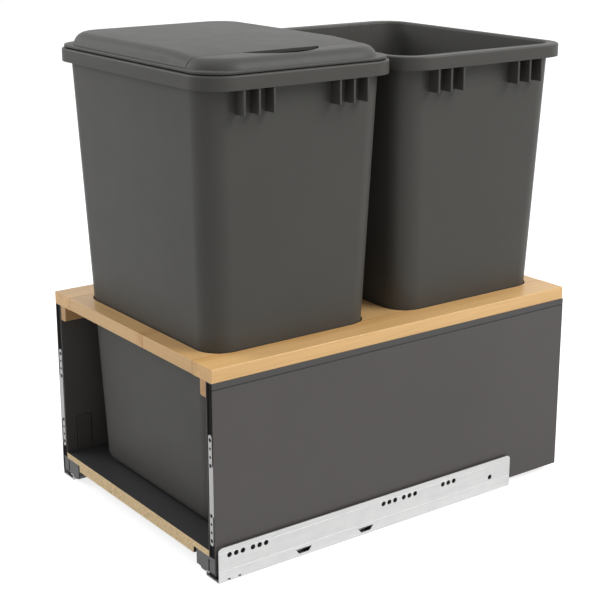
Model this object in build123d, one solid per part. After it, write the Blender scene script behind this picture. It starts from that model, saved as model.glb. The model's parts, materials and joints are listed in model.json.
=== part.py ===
from build123d import *
import os

os.makedirs("parts", exist_ok=True)

# Pull out bin frame for a base cabinet, in millimetres.
# +X is right, the drawer opens towards -Y, and Z is zero on the cabinet floor.
# The right side is modelled, and the left side is its mirror image.

# Driving dimensions
opening_width = 381.0
rail_length = 450.0
frame_height = 239.0
frame_thickness = 16.0
panel_thickness = 16.0
rim_depth = 263.6
bin_height = 532.0
side_thickness = 12.8

# Clearances shared by many pieces
overrun = 1.0
rest_gap = 0.3
pin_play = 0.1
slide_play = 0.5

# Plan layout: the two rims in a row set the depth of everything
rim_gap = 8.8
rim_setback = 6.0
rim_overhang = 3.0
side_overhang = 2.0
side_gap = 4.65
overall_depth = rim_setback + 2 * rim_depth + rim_gap
y_front = -overall_depth / 2
y_frame_back = -y_front - rim_overhang
y_side_back = y_frame_back + side_overhang
x_rail = opening_width / 2
x_side = x_rail - side_gap
x_inner = x_side - side_thickness

# Cabinet rail: a folded sheet with a tall flange, a foot and an upstand with a lip
rail_sheet = 1.3
rail_height = 43.3
rail_setback = 2.0
foot_width = 27.5
rail_lip_width = 7.0
rail_corner_radius = 5.5
rail_bend = 2.2
y_rail = y_front + rail_setback
y_rail_back = y_rail + rail_length

# Screw holes of the cabinet rail, on the cabinet maker's 32 mm grid
grid = 32.0
grid_steps = (0, 1, 7, 8, 10)
first_group = 23.4
group_pitch = 9.1
rail_hole_radius = 3.2
rail_hole_drop = 10.3
rear_hole_from_back = 35.0
rear_hole_height = 21.6
crease_depth = 0.3
crease_width = 1.2
crease_heights = (14.5, 36.5)

# Slots and notches low on the flange
slot_first = 118.3
slot_pitch = 92.6
slot_top_width = 23.0
slot_bottom_width = 14.0
slot_base = 4.6
slot_height = 6.0
notch_places = (13.2, 27.6)
notch_width = 4.0
notch_height = 4.2

# Centre rail, an I section that runs between the cabinet rail and the drawer rail
runner_sheet = 1.2
runner_setback = 7.6
runner_side_play = 0.8
runner_web_height = 6.8
lower_gap = 2.7
upper_gap = 4.4
top_plate_play = 1.6
drawer_lip_reach = 5.0
centre_setback = 10.0
centre_shortfall = 30.0
nose_length = 8.6
drawer_rail_setback = 14.0
drawer_rail_length = 464.0
travel = rail_length
x_runner_out = x_rail - runner_setback
x_runner_in = x_rail - foot_width + rail_sheet + runner_side_play
x_runner_mid = (x_runner_out + x_runner_in) / 2
z_centre = rail_sheet + lower_gap
z_rail_lip = z_centre + runner_sheet + slide_play
z_centre_top = z_centre + runner_sheet + runner_web_height
z_upper_gap = z_centre_top + runner_sheet
z_seat = z_upper_gap + upper_gap + runner_sheet
z_drawer_lip = z_centre_top - slide_play - runner_sheet
y_centre = y_rail + centre_setback
y_centre_back = y_rail_back - centre_shortfall
y_drawer_rail = y_front + drawer_rail_setback
y_drawer_rail_back = y_drawer_rail + drawer_rail_length

# Roller cages
roller_play = 0.3
cage_length = 200.0
cage_margin = 2.0
roller_count = 8
roller_end_margin = 12.5
lower_cage_thickness = 1.5
upper_cage_thickness = 2.0
roller_length = 4.5
roller_slot_play = 0.3
roller_row_offset = 3.6
cage_side_play = 0.8

# Soft closing damper on the inside of the cabinet rail's upstand
damper_width = 16.0
damper_height = 17.5
damper_length = 148.0
damper_end = 2.0
damper_bore_radius = 5.5
damper_mouth_radius = 2.9
damper_mouth_wall = 6.0
damper_back_wall = 4.0
damper_rod_radius = 2.5
damper_rod_length = 78.0
damper_piston_length = 4.0
damper_piston_play = 0.4
damper_tip_radius = 4.2
damper_tip_length = 3.0
spring_wall = 1.6
tab_thickness = 4.0
tab_drop = 5.5
tab_width = 11.6
tab_top_drop = 3.0

# Drawer side: two sheet skins with a hollow between them
skin = 1.0
side_bottom = 8.3
groove_drop = 8.5
groove_width = 1.2
groove_depth = 0.7
seat_flange_width = 23.0
z_panel = z_seat + skin
z_panel_top = z_panel + panel_thickness

# Front bracket in the side's front edge, and the insert that holds it
strip_thickness = 1.5
strip_width = 6.8
strip_height = 134.0
strip_bottom = 44.0
strip_end_radius = 3.3
bracket_web = 1.2
bracket_web_depth = 26.0
insert_depth = 30.0
bracket_hole_pitch = 10.2
bracket_inner_offset = 30.3
bracket_round_radius = 2.5
bracket_small_radius = 1.8
bracket_square = 4.4
bracket_hole_depth = 12.0
bracket_screw_radius = 1.6
bracket_screw_head_radius = 2.9
bracket_screw_head = 1.4
bracket_screw_offset = 10.0

# Clip-on cover on the inner face of each side
cover_setback = 16.6
cover_width = 19.7
cover_height = 48.0
cover_thickness = 1.2
cover_radius = 2.0
slit_width = 1.2

# Back panel and its angle brackets
back_thickness = 16.0
back_inset = 0.5
angle_sheet = 1.2
angle_leg = 20.0
angle_top_gap = 25.7
angle_base_gap = 8.0
y_back = y_side_back - back_inset
y_back_face = y_back - back_thickness

# Bottom panel, notched under its front corners for the locking devices
panel_notch_length = 77.0
panel_notch_width = 33.0
panel_notch_height = 8.4

# Wooden frame: five rails, tongued together and routed for the two bins
hole_play = 1.3
rout_depth = 3.4
tongue_length = 8.0
tongue_height = 8.5
tongue_base = 2.0
tongue_reach = 8.0
frame_edge_radius = 1.0
cleat_width = 12.5
cleat_height = 19.5
cleat_end_gap = 0.6
cleat_radius = 3.0

# Countersunk wood screws
screw_radius = 1.75
screw_head_radius = 3.5
screw_length = 15.0
screw_head_height = 2.4
cleat_screw_count = 4
cleat_screw_end = 60.0
frame_screw_length = 30.0
frame_screw_end = 110.0
frame_screw_count = 3
panel_screw_count = 4
panel_screw_length = 13.0
panel_screw_end = 70.0
panel_screw_inset = 16.0

# Locking device under each front corner
lock_setback = 0.8
lock_face = 2.2
lock_width = 17.6
lock_bottom = 4.0
lock_chamfer = 7.0
lock_face_bottom = 8.6
lock_foot_gap = 0.6
lock_side_gap = 1.4
lock_arm_start = 22.0
lock_arm_end = 66.0
lever_width = 12.0
lever_height = 13.5
lever_base = 10.2
lever_sheet = 2.0
lever_knuckle_radius = 2.3
lever_pin_radius = 1.1
lever_gap = 0.4
lever_end_gap = 1.0
lever_ear = 1.3
wheel_radius = 8.0
wheel_thickness = 4.8
wheel_base = 8.4
wheel_setback = 20.0
wheel_inset = 2.6
wheel_pin_radius = 1.5
wheel_gap = 0.4
wheel_notch_count = 16
wheel_notch_radius = 0.7
lock_screw_places = (38.0, 62.0)
lock_screw_length = 8.0

# Bins: one tapered tub under a wide rim
rim_side_setback = 9.55
rim_height = 15.7
rim_radius = 38.2
rim_inset_x = 16.8
rim_inset_y = 7.1
rim_wall = 2.4
rim_top_radius = 2.0
rim_inner_radius = 3.0
tub_wall = 2.2
tub_radius = 31.0
tub_floor = 2.6
tub_bottom_radius = 12.0
draft_share = 0.0381
fin_thickness = 3.0
fin_pitch = 19.5
fin_group_offset = 64.0
fin_drop = 28.2
fin_inset = 1.4
rim_half_x = x_side - rim_side_setback
rim_half_y = rim_depth / 2
z_bin = z_panel_top + rest_gap
z_rim_top = z_bin + bin_height
z_rim = z_rim_top - rim_height
y_front_bin = y_front + rim_setback + rim_half_y
y_rear_bin = y_front_bin + rim_depth + rim_gap

# Lid of the front bin: a flange with a fixed strip, and a flap hinged at its left edge
flange_inset = 3.0
flange_thickness = 4.0
flange_edge_radius = 1.5
flange_undercut = 3.0
flange_undercut_height = 1.2
skirt_depth = 12.6
skirt_wall = 1.8
skirt_play = 0.8
dome_inset = 8.0
dome_rise = 14.6
dome_wall = 2.2
dome_taper = 25.0
dome_radius = 16.0
dome_corner_radius = 46.0
seam_from_side = 53.2
seam_gap = 1.1
seam_wall = 2.0
seam_wall_depth = 4.5
band_width = 48.5
band_drop = 3.2
crescent_length = 103.0
crescent_depth = 30.0
hinge_inset = 2.5
hinge_rise = 4.2
hinge_radius = 2.3
hinge_pin_radius = 1.1
hinge_half_length = 75.0
lug_offset = 60.0
lug_width = 6.0
lug_gap = 0.5
lug_sweep = 1.0
flap_foot_cut = 4.8
flap_foot_rise = 1.6


# Shapes used by many pieces
def block(x0, x1, y0, y1, z0, z1):
    return Pos((x0 + x1) / 2, (y0 + y1) / 2, (z0 + z1) / 2) * Box(x1 - x0, y1 - y0, z1 - z0)


def rod_x(x0, x1, y, z, radius):
    return Pos((x0 + x1) / 2, y, z) * Rot(0, 90, 0) * Cylinder(radius, x1 - x0)


def rod_y(x, y0, y1, z, radius):
    return Pos(x, (y0 + y1) / 2, z) * Rot(90, 0, 0) * Cylinder(radius, y1 - y0)


def rod_z(x, y, z0, z1, radius):
    return Pos(x, y, (z0 + z1) / 2) * Cylinder(radius, z1 - z0)


def plate_xz(points, y0, y1):
    outline = Polyline(*[(x, y0, z) for x, z in points], close=True)
    return extrude(make_face(outline), amount=y1 - y0, dir=(0, 1, 0))


def plan(half_x, half_y, radius, y, z):
    return Pos(0, y, z) * RectangleRounded(2 * half_x, 2 * half_y, radius)


def column(half_x, half_y, radius, y, z0, z1):
    return extrude(plan(half_x, half_y, radius, y, z0), amount=z1 - z0)


def spread(first, last, count):
    return [first + (last - first) * step / (count - 1) for step in range(count)]


def mirrored(shape):
    return mirror(shape, about=Plane.YZ)


def both_sides(shape):
    return shape + mirrored(shape)


def save(shape, node):
    export_step(shape, f"parts/{node}.step")


def save_pair(shape, stem):
    save(shape, f"{stem}_right")
    save(mirrored(shape), f"{stem}_left")


# Cabinet rail
def rail_section():
    x_foot = x_rail - foot_width
    z_top_lip = z_rail_lip + rail_sheet
    flange = block(x_rail - rail_sheet, x_rail, y_rail, y_rail_back, 0, rail_height)
    foot = block(x_foot, x_rail, y_rail, y_rail_back, 0, rail_sheet)
    upstand = block(x_foot, x_foot + rail_sheet, y_rail, y_rail_back, 0, z_top_lip)
    lip = block(x_foot, x_foot + rail_lip_width, y_rail, y_rail_back, z_rail_lip, z_top_lip)
    section = flange + foot + upstand + lip
    lowest = section.edges().filter_by(Axis.Y).sort_by(Axis.X)[-2:]
    section = fillet(lowest.sort_by(Axis.Z)[0], rail_bend)
    top = section.faces().sort_by(Axis.Z)[-1].edges().filter_by(Axis.X)
    return fillet(top, rail_corner_radius)


def rail_holes():
    z = rail_height - rail_hole_drop
    places = [
        (y_rail + first_group + step * grid + shift, z)
        for step in grid_steps
        for shift in (-group_pitch, 0, group_pitch)
    ]
    places.append((y_rail_back - rear_hole_from_back, rear_hole_height))
    x0 = x_rail - rail_sheet - overrun
    return [rod_x(x0, x_rail + overrun, y, height, rail_hole_radius) for y, height in places]


def rail_slot(y):
    top, bottom = slot_top_width / 2, slot_bottom_width / 2
    x0 = x_rail - rail_sheet - overrun
    corners = [
        (x0, y - bottom, slot_base),
        (x0, y + bottom, slot_base),
        (x0, y + top, slot_base + slot_height),
        (x0, y - top, slot_base + slot_height),
    ]
    face = make_face(Polyline(*corners, close=True))
    return extrude(face, amount=rail_sheet + 2 * overrun, dir=(1, 0, 0))


def rail_notch(y):
    x0 = x_rail - rail_sheet - overrun
    half = notch_width / 2
    return block(x0, x_rail + overrun, y - half, y + half, -overrun, notch_height)


def rail_crease(z):
    x0 = x_rail - crease_depth
    return block(x0, x_rail + overrun, y_rail - overrun, y_rail_back + overrun, z, z + crease_width)


def cabinet_rail():
    cuts = rail_holes()
    cuts += [rail_slot(y_rail + slot_first + turn * slot_pitch) for turn in range(2)]
    cuts += [rail_notch(y_rail + place) for place in notch_places]
    cuts += [rail_crease(z) for z in crease_heights]
    return rail_section() - cuts


# Centre rail and its plastic nose
def centre_rail():
    x_top_in = x_runner_in + runner_sheet + top_plate_play
    x_top_out = x_runner_out - runner_sheet - top_plate_play
    web_in, web_out = x_runner_mid - runner_sheet, x_runner_mid + runner_sheet
    y0, y1 = y_centre, y_centre_back
    bottom = block(x_runner_in, x_runner_out, y0, y1, z_centre, z_centre + runner_sheet)
    web = block(web_in, web_out, y0, y1, z_centre, z_upper_gap)
    top = block(x_top_in, x_top_out, y0, y1, z_centre_top, z_upper_gap)
    return bottom + web + top


def centre_nose():
    y0, y1 = y_centre - nose_length, y_centre
    z0 = rail_sheet + slide_play
    z1 = z_centre + runner_sheet
    low = block(x_runner_in, x_runner_out, y0, y1, z0, z1)
    half = x_runner_mid - (x_rail - foot_width + rail_lip_width + slide_play)
    y_post = y_centre - nose_length / 2
    post = block(x_runner_mid - half, x_runner_mid + half, y_post, y1, z1, z_upper_gap)
    return fillet(low.edges().filter_by(Axis.Z).sort_by(Axis.Y)[:2], nose_length / 3) + post


# Drawer rail, an inverted channel round the centre rail, with the tab that meets the damper
def drawer_rail():
    y0, y1 = y_drawer_rail, y_drawer_rail_back
    x0, x1 = x_runner_in, x_runner_out
    top = block(x0, x1, y0, y1, z_seat - runner_sheet, z_seat)
    inner = block(x0, x0 + runner_sheet, y0, y1, z_drawer_lip, z_seat)
    outer = block(x1 - runner_sheet, x1, y0, y1, z_drawer_lip, z_seat)
    z_lip_top = z_drawer_lip + runner_sheet
    inner_lip = block(x0, x0 + drawer_lip_reach, y0, y1, z_drawer_lip, z_lip_top)
    outer_lip = block(x1 - drawer_lip_reach, x1, y0, y1, z_drawer_lip, z_lip_top)
    return top + inner + outer + inner_lip + outer_lip + damper_tab()


# Soft closing damper
x_damper_out = x_rail - foot_width
x_damper = x_damper_out - damper_width / 2
z_damper = damper_height / 2
y_damper = y_rail_back - damper_end - damper_length
y_damper_back = y_damper + damper_length
y_piston = y_damper + damper_rod_length - damper_piston_length


def damper_tab():
    y1 = y_damper - damper_tip_length - rest_gap
    y0 = y1 - tab_thickness
    x_tab = x_runner_in - tab_width
    z1 = z_seat - tab_top_drop
    arm = block(x_tab, x_runner_in, y0, y1, z_drawer_lip, z1)
    x_drop = x_damper_out - slide_play
    drop = block(x_tab, x_drop, y0, y1, z_drawer_lip - tab_drop, z1)
    return arm + drop


def damper_housing():
    x0 = x_damper_out - damper_width
    body = block(x0, x_damper_out, y_damper, y_damper_back, 0, damper_height)
    y0, y1 = y_damper + damper_mouth_wall, y_damper_back - damper_back_wall
    mouth = rod_y(x_damper, y_damper - overrun, y0, z_damper, damper_mouth_radius)
    return body - [mouth, rod_y(x_damper, y0, y1, z_damper, damper_bore_radius)]


def damper_plunger():
    y_tip = y_damper - damper_tip_length
    tip = rod_y(x_damper, y_tip, y_damper - rest_gap, z_damper, damper_tip_radius)
    rod = rod_y(x_damper, y_tip, y_piston, z_damper, damper_rod_radius)
    y_end = y_piston + damper_piston_length
    piston = rod_y(x_damper, y_piston, y_end, z_damper, damper_bore_radius - damper_piston_play)
    return tip + rod + piston


def damper_spring():
    y0 = y_piston + damper_piston_length + rest_gap
    y1 = y_damper_back - damper_back_wall
    outer_radius = damper_bore_radius - damper_piston_play
    tube = rod_y(x_damper, y0, y1, z_damper, outer_radius)
    return tube - rod_y(x_damper, y0 - overrun, y1 + overrun, z_damper, outer_radius - spring_wall)


# Roller cages: a strip with two rows of rollers, halfway between the faces that it runs between
def cage_stations(y0):
    return spread(y0 + roller_end_margin, y0 + cage_length - roller_end_margin, roller_count)


def roller_rows():
    return (x_runner_mid - roller_row_offset, x_runner_mid + roller_row_offset)


def cage(x0, x1, y0, z_mid, thickness, radius):
    strip = block(x0, x1, y0, y0 + cage_length, z_mid - thickness / 2, z_mid + thickness / 2)
    half_x = roller_length / 2 + roller_slot_play
    half_y = radius + roller_slot_play
    slots = [
        block(x - half_x, x + half_x, y - half_y, y + half_y, z_mid - thickness, z_mid + thickness)
        for y in cage_stations(y0)
        for x in roller_rows()
    ]
    return strip - slots


def cage_rollers(y0, z_mid, radius):
    half = roller_length / 2
    return [
        rod_x(x - half, x + half, y, z_mid, radius)
        for y in cage_stations(y0)
        for x in roller_rows()
    ]


lower_roller_radius = lower_gap / 2 - roller_play
upper_roller_radius = upper_gap / 2 - roller_play
y_lower_cage = y_rail + travel / 4 + cage_margin
y_upper_cage = y_centre + travel / 4 + cage_margin
z_lower_cage = rail_sheet + lower_gap / 2
z_upper_cage = z_upper_gap + upper_gap / 2


def lower_cage():
    x0, x1 = x_runner_in + cage_side_play, x_runner_out - cage_side_play
    return cage(x0, x1, y_lower_cage, z_lower_cage, lower_cage_thickness, lower_roller_radius)


def upper_cage():
    x0 = x_runner_in + runner_sheet + cage_side_play
    x1 = x_runner_out - runner_sheet - cage_side_play
    return cage(x0, x1, y_upper_cage, z_upper_cage, upper_cage_thickness, upper_roller_radius)


# Drawer side
def side_outer():
    z_top = frame_height
    wall = block(x_side - skin, x_side, y_front, y_side_back, side_bottom, z_top)
    top = block(x_inner, x_side, y_front, y_side_back, z_top - skin, z_top)
    rear = block(x_inner, x_side, y_side_back - skin, y_side_back, z_panel, z_top)
    z_groove = z_top - groove_drop
    y0, y1 = y_front - overrun, y_side_back + overrun
    groove = block(x_side - groove_depth, x_side + overrun, y0, y1, z_groove, z_groove + groove_width)
    return wall + top + rear - groove


def side_inner():
    y1 = y_side_back - skin
    wall = block(x_inner, x_inner + skin, y_front, y1, z_seat, frame_height - skin)
    y_seat = y_front + panel_notch_length
    seat = block(x_inner - seat_flange_width, x_inner + skin, y_seat, y1, z_seat, z_panel)
    y_notch = y_lever + lever_knuckle_radius + lever_gap + lever_ear
    x0, x1 = x_inner - overrun, x_inner + skin + overrun
    notch = block(x0, x1, y_front - overrun, y_notch, z_seat - overrun, z_lock_top + rest_gap)
    return wall + seat - [notch] - cover_slits() - cleat_screws_right() - panel_screws_right() - angle_screws_right()


def cover_slits():
    y0 = y_front + cover_setback
    x0, x1 = x_inner - overrun, x_inner + skin + overrun
    z0, z1 = z_panel_top, z_panel_top + cover_height
    return [block(x0, x1, y, y + slit_width, z0, z1) for y in (y0 - slit_width, y0 + cover_width)]


def side_cover():
    y0 = y_front + cover_setback
    z0 = z_panel_top
    plate = block(x_inner - cover_thickness, x_inner, y0, y0 + cover_width, z0, z0 + cover_height)
    upper = plate.edges().filter_by(Axis.X).sort_by(Axis.Z)[-2:]
    return fillet(upper, cover_radius)


# Front bracket, its insert and its screws
x_strip = x_inner + side_thickness / 2
x_bracket_out = x_side - skin
y_strip = y_front + strip_thickness
z_strip_mid = strip_bottom + strip_height / 2


def bracket_heights(step):
    rise = bracket_inner_offset + step * bracket_hole_pitch
    return (z_strip_mid - rise, z_strip_mid + rise)


def bracket_holes():
    y0, y1 = y_front - overrun, y_strip + bracket_hole_depth
    half = bracket_square / 2
    cuts = [rod_y(x_strip, y0, y1, z, bracket_round_radius) for z in bracket_heights(3)]
    for step in (1, 2):
        cuts += [rod_y(x_strip, y0, y1, z, bracket_small_radius) for z in bracket_heights(step)]
    cuts += [
        block(x_strip - half, x_strip + half, y0, y1, z - half, z + half)
        for z in bracket_heights(0)
    ]
    return cuts


def bracket_screws_right():
    screws = []
    x_head = x_bracket_out - bracket_web - bracket_screw_head
    y = y_front + bracket_web_depth - bracket_screw_offset / 2
    for z in (z_strip_mid - bracket_screw_offset, z_strip_mid + bracket_screw_offset):
        x_tip = x_bracket_out
        shank = rod_x(x_head, x_tip, y, z, bracket_screw_radius)
        head = rod_x(x_head, x_head + bracket_screw_head, y, z, bracket_screw_head_radius)
        screws.append(shank + head)
    return screws


def front_bracket():
    half = strip_width / 2
    z_strip_top = strip_bottom + strip_height
    strip = block(x_strip - half, x_strip + half, y_front, y_strip, strip_bottom, z_strip_top)
    strip = fillet(strip.edges().filter_by(Axis.Y), strip_end_radius)
    z0, z1 = z_strip_mid - bracket_inner_offset, z_strip_mid + bracket_inner_offset
    x0 = x_bracket_out - bracket_web
    web = block(x0, x_bracket_out, y_front, y_front + bracket_web_depth, z0, z1)
    bridge = block(x_strip + half - bracket_web, x_bracket_out, y_front, y_strip, z0, z1)
    return strip + web + bridge - bracket_holes() - bracket_screws_right()


def front_insert():
    x0 = x_inner + skin
    z0, z1 = z_lock_top + rest_gap, frame_height - skin
    body = block(x0, x_bracket_out, y_strip, y_front + insert_depth, z0, z1)
    z_web0, z_web1 = z_strip_mid - bracket_inner_offset, z_strip_mid + bracket_inner_offset
    x_web = x_bracket_out - bracket_web
    y_web = y_front + bracket_web_depth
    pocket = block(x_web, x_bracket_out + overrun, y_strip - overrun, y_web, z_web0, z_web1)
    return body - [pocket] - bracket_holes() - bracket_screws_right()


# Panels
def bottom_panel():
    board = block(-x_inner, x_inner, y_front, y_back_face, z_panel, z_panel_top)
    x0 = x_inner - panel_notch_width
    y1 = y_front + panel_notch_length
    z1 = z_panel + panel_notch_height
    notch = block(x0, x_inner + overrun, y_front - overrun, y1, z_panel - overrun, z1)
    board -= both_sides(notch)
    screws = panel_screws_right() + lock_screws_right()
    return board - screws - [mirrored(screw) for screw in screws]


def back_panel():
    board = block(-x_inner, x_inner, y_back_face, y_back, z_panel, frame_height)
    screws = angle_screws_back()
    return board - screws - [mirrored(screw) for screw in screws]


def wood_screw(length, head_height):
    shank = Pos(0, 0, length / 2) * Cylinder(screw_radius, length)
    head = Pos(0, 0, head_height / 2) * Cone(screw_head_radius, screw_radius, head_height)
    return shank + head


def panel_screws_right():
    x = x_inner - panel_screw_inset
    y_first = y_front + panel_notch_length + panel_screw_inset
    places = spread(y_first, y_back - panel_screw_end, panel_screw_count)
    return [Pos(x, y, z_seat) * wood_screw(panel_screw_length, skin) for y in places]


def angle_span():
    return z_panel_top + angle_base_gap, frame_height - cleat_height - angle_top_gap


def angle_bracket():
    z0, z1 = angle_span()
    side_leg = block(x_inner - angle_sheet, x_inner, y_back_face - angle_leg, y_back_face, z0, z1)
    back_leg = block(x_inner - angle_leg, x_inner, y_back_face - angle_sheet, y_back_face, z0, z1)
    return side_leg + back_leg - angle_screws_back() - angle_screws_right()


def angle_heights():
    z0, z1 = angle_span()
    return (z0 + angle_leg / 2, z1 - angle_leg / 2)


def angle_screws_back():
    x = x_inner - angle_leg / 2
    y = y_back_face - angle_sheet
    screw = Rot(-90, 0, 0) * wood_screw(panel_screw_length, angle_sheet)
    return [Pos(x, y, z) * screw for z in angle_heights()]


def angle_screws_right():
    x = x_inner - angle_sheet
    y = y_back_face - angle_leg / 2
    screw = Rot(0, 90, 0) * wood_screw(angle_sheet + skin + screw_radius, angle_sheet)
    return [Pos(x, y, z) * screw for z in angle_heights()]


# Wooden frame
def tub_half(z):
    shrink = draft_share * (z_rim - z)
    return rim_half_x - rim_inset_x - shrink, rim_half_y - rim_inset_y - shrink


z_frame_top = frame_height + frame_thickness
hole_half_x = tub_half(z_frame_top)[0] + hole_play
hole_half_y = tub_half(z_frame_top)[1] + hole_play
hole_radius = tub_radius + hole_play
x_joint = hole_half_x - rout_depth


def frame_hole(y):
    z0, z1 = frame_height - overrun, z_frame_top + overrun
    return column(hole_half_x, hole_half_y, hole_radius, y, z0, z1)


def tongues(y0, y1):
    z0 = frame_height + tongue_base
    tongue = block(x_joint, x_joint + tongue_length, y0, y1, z0, z0 + tongue_height)
    return both_sides(tongue)


y_hole_front = y_front_bin - hole_half_y
y_hole_mid_front = y_front_bin + hole_half_y
y_hole_mid_rear = y_rear_bin - hole_half_y
y_hole_rear = y_rear_bin + hole_half_y


def frame_tongues():
    return [
        tongues(y_front, y_hole_front + tongue_reach),
        tongues(y_hole_mid_front - tongue_reach, y_hole_mid_rear + tongue_reach),
        tongues(y_hole_rear - tongue_reach, y_frame_back),
    ]


def cross_rail(y0, y1, tongue):
    rail = block(-x_joint, x_joint, y0, y1, frame_height, z_frame_top) + tongue
    return rail - [frame_hole(y_front_bin), frame_hole(y_rear_bin)]


def cross_rails():
    front, middle, rear = frame_tongues()
    y_mid0, y_mid1 = y_hole_mid_front - hole_radius, y_hole_mid_rear + hole_radius
    return {
        "frame_front_rail": cross_rail(y_front, y_hole_front + hole_radius, front),
        "frame_middle_rail": cross_rail(y_mid0, y_mid1, middle),
        "frame_rear_rail": cross_rail(y_hole_rear - hole_radius, y_frame_back, rear),
    }


def frame_side_rail():
    rail = block(x_joint, x_side, y_front, y_frame_back, frame_height, z_frame_top)
    outer = rail.edges().filter_by(Axis.Y).sort_by(Axis.X)[-2:]
    rail = fillet(outer, frame_edge_radius)
    holes = [frame_hole(y_front_bin), frame_hole(y_rear_bin)]
    return rail - holes - frame_tongues() - frame_screws_right()


def cleat():
    y0, y1 = y_front + cleat_end_gap, y_back_face - cleat_end_gap
    z0 = frame_height - cleat_height
    strip = block(x_inner - cleat_width, x_inner, y0, y1, z0, frame_height)
    corner = strip.edges().filter_by(Axis.Y).sort_by(Axis.X)[:2].sort_by(Axis.Z)[0]
    return fillet(corner, cleat_radius) - cleat_screws_right() - frame_screws_right()


def cleat_screws_right():
    z = frame_height - cleat_height / 2
    x = x_inner - cleat_width
    places = spread(y_front + cleat_screw_end, y_back_face - cleat_screw_end, cleat_screw_count)
    screw = Rot(0, 90, 0) * wood_screw(screw_length, screw_head_height)
    return [Pos(x, y, z) * screw for y in places]


def frame_screws_right():
    x = x_inner - cleat_width / 2
    z = frame_height - cleat_height
    places = spread(y_front + frame_screw_end, y_back_face - frame_screw_end, frame_screw_count)
    return [Pos(x, y, z) * wood_screw(frame_screw_length, screw_head_height) for y in places]


# Locking device
x_lock_out = x_rail - foot_width - lock_foot_gap
x_lock_in = x_lock_out - lock_width
x_lock_side = x_side - lock_side_gap
y_lock = y_front + lock_setback + lock_face
y_lock_back = y_front + panel_notch_length
z_lock_top = z_panel + panel_notch_height
x_lever = x_lock_side - lever_width
y_lever = y_lock + lever_knuckle_radius
x_wheel = x_lock_in + wheel_inset
y_wheel = y_front + wheel_setback


def lock_screws_right():
    x = (x_lock_in + x_lock_out) / 2
    z0 = z_lock_top - screw_head_height
    screw = wood_screw(lock_screw_length, screw_head_height)
    return [Pos(x, y_front + place, z0) * screw for place in lock_screw_places]


def lock_screw_bores():
    x = (x_lock_in + x_lock_out) / 2
    z0, z1 = lock_bottom - overrun, z_lock_top - screw_head_height
    return [rod_z(x, y_front + place, z0, z1, screw_head_radius) for place in lock_screw_places]


def lock_body():
    y0 = y_lock
    tall = block(x_lock_in, x_lock_out, y0, y_lock_back, lock_bottom, z_lock_top)
    inner = tall.edges().filter_by(Axis.Y).sort_by(Axis.X)[:2].sort_by(Axis.Z)[0]
    tall = chamfer(inner, lock_chamfer)
    shelf = block(x_lock_in, x_inner, y0, y_lock_back, z_seat + rest_gap, z_lock_top)
    y_arm0, y_arm1 = y_front + lock_arm_start, y_front + lock_arm_end
    arm = block(x_lock_out, x_runner_in, y_arm0, y_arm1, z_drawer_lip, z_seat)
    return tall + shelf + arm


def lever_pocket():
    z0, z1 = lever_base - lever_gap, lever_base + lever_height + lever_gap
    x0 = x_lever - lever_knuckle_radius - lever_gap
    y1 = y_lever + lever_knuckle_radius + lever_gap
    return block(x0, x_lock_side + overrun, y_front - overrun, y1, z0, z1)


def locking_housing():
    y0 = y_front + lock_setback
    face = block(x_lock_in, x_lock_side, y0, y_lock, lock_face_bottom, z_lock_top)
    z0, z1 = lever_base - lever_gap, lever_base + lever_height + lever_gap
    x_ear0, x_ear1 = x_lever - lever_knuckle_radius, x_lever + lever_knuckle_radius
    y_ear = y_lever + lever_knuckle_radius
    low_ear = block(x_ear0, x_ear1, y0, y_ear, z0 - lever_ear, z0)
    high_ear = block(x_ear0, x_ear1, y0, y_ear, z1, z1 + lever_ear)
    pin = rod_z(x_lever, y_lever, z0 - lever_ear, z1 + lever_ear, lever_pin_radius)
    z_slot0 = wheel_base - wheel_gap
    z_slot1 = wheel_base + wheel_thickness + wheel_gap
    wheel_slot = rod_z(x_wheel, y_wheel, z_slot0, z_slot1, wheel_radius + wheel_gap)
    wheel_pin = rod_z(x_wheel, y_wheel, z_slot0, z_slot1, wheel_pin_radius)
    body = lock_body() + face - [lever_pocket()] + low_ear + high_ear + pin
    shoulder = block(x_lock_in, x_lever - lever_knuckle_radius - lever_gap, y0, y_ear, z_seat, z_lock_top)
    body = body + shoulder - [wheel_slot] + wheel_pin
    return body - lock_screws_right() - lock_screw_bores()


def release_lever():
    z0, z1 = lever_base, lever_base + lever_height
    y0 = y_front + lock_setback
    knuckle = rod_z(x_lever, y_lever, z0, z1, lever_knuckle_radius)
    x1 = x_lock_side - lever_end_gap
    plate = block(x_lever, x1, y0, y0 + lever_sheet, z0, z1)
    neck = block(x_lever, x_lever + lever_knuckle_radius, y0, y_lever, z0, z1)
    tip = plate.edges().filter_by(Axis.Z).sort_by(Axis.X)[-1]
    body = fillet(tip, lever_sheet / 3) + neck + knuckle
    return body - rod_z(x_lever, y_lever, z0 - overrun, z1 + overrun, lever_pin_radius + pin_play)


def height_wheel():
    z0, z1 = wheel_base, wheel_base + wheel_thickness
    disc = rod_z(x_wheel, y_wheel, z0, z1, wheel_radius)
    bore = rod_z(x_wheel, y_wheel, z0 - overrun, z1 + overrun, wheel_pin_radius + pin_play)
    notches = [
        Pos(x_wheel, y_wheel, 0) * Rot(0, 0, 360 * turn / wheel_notch_count)
        * rod_z(wheel_radius, 0, z0 - overrun, z1 + overrun, wheel_notch_radius)
        for turn in range(wheel_notch_count)
    ]
    return disc - notches - bore


# Bins
def tub(y, inset, z0, z1):
    sections = []
    for z in (z0, z1):
        half_x, half_y = tub_half(z)
        sections.append(plan(half_x - inset, half_y - inset, tub_radius - inset, y, z))
    return loft(sections)


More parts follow.
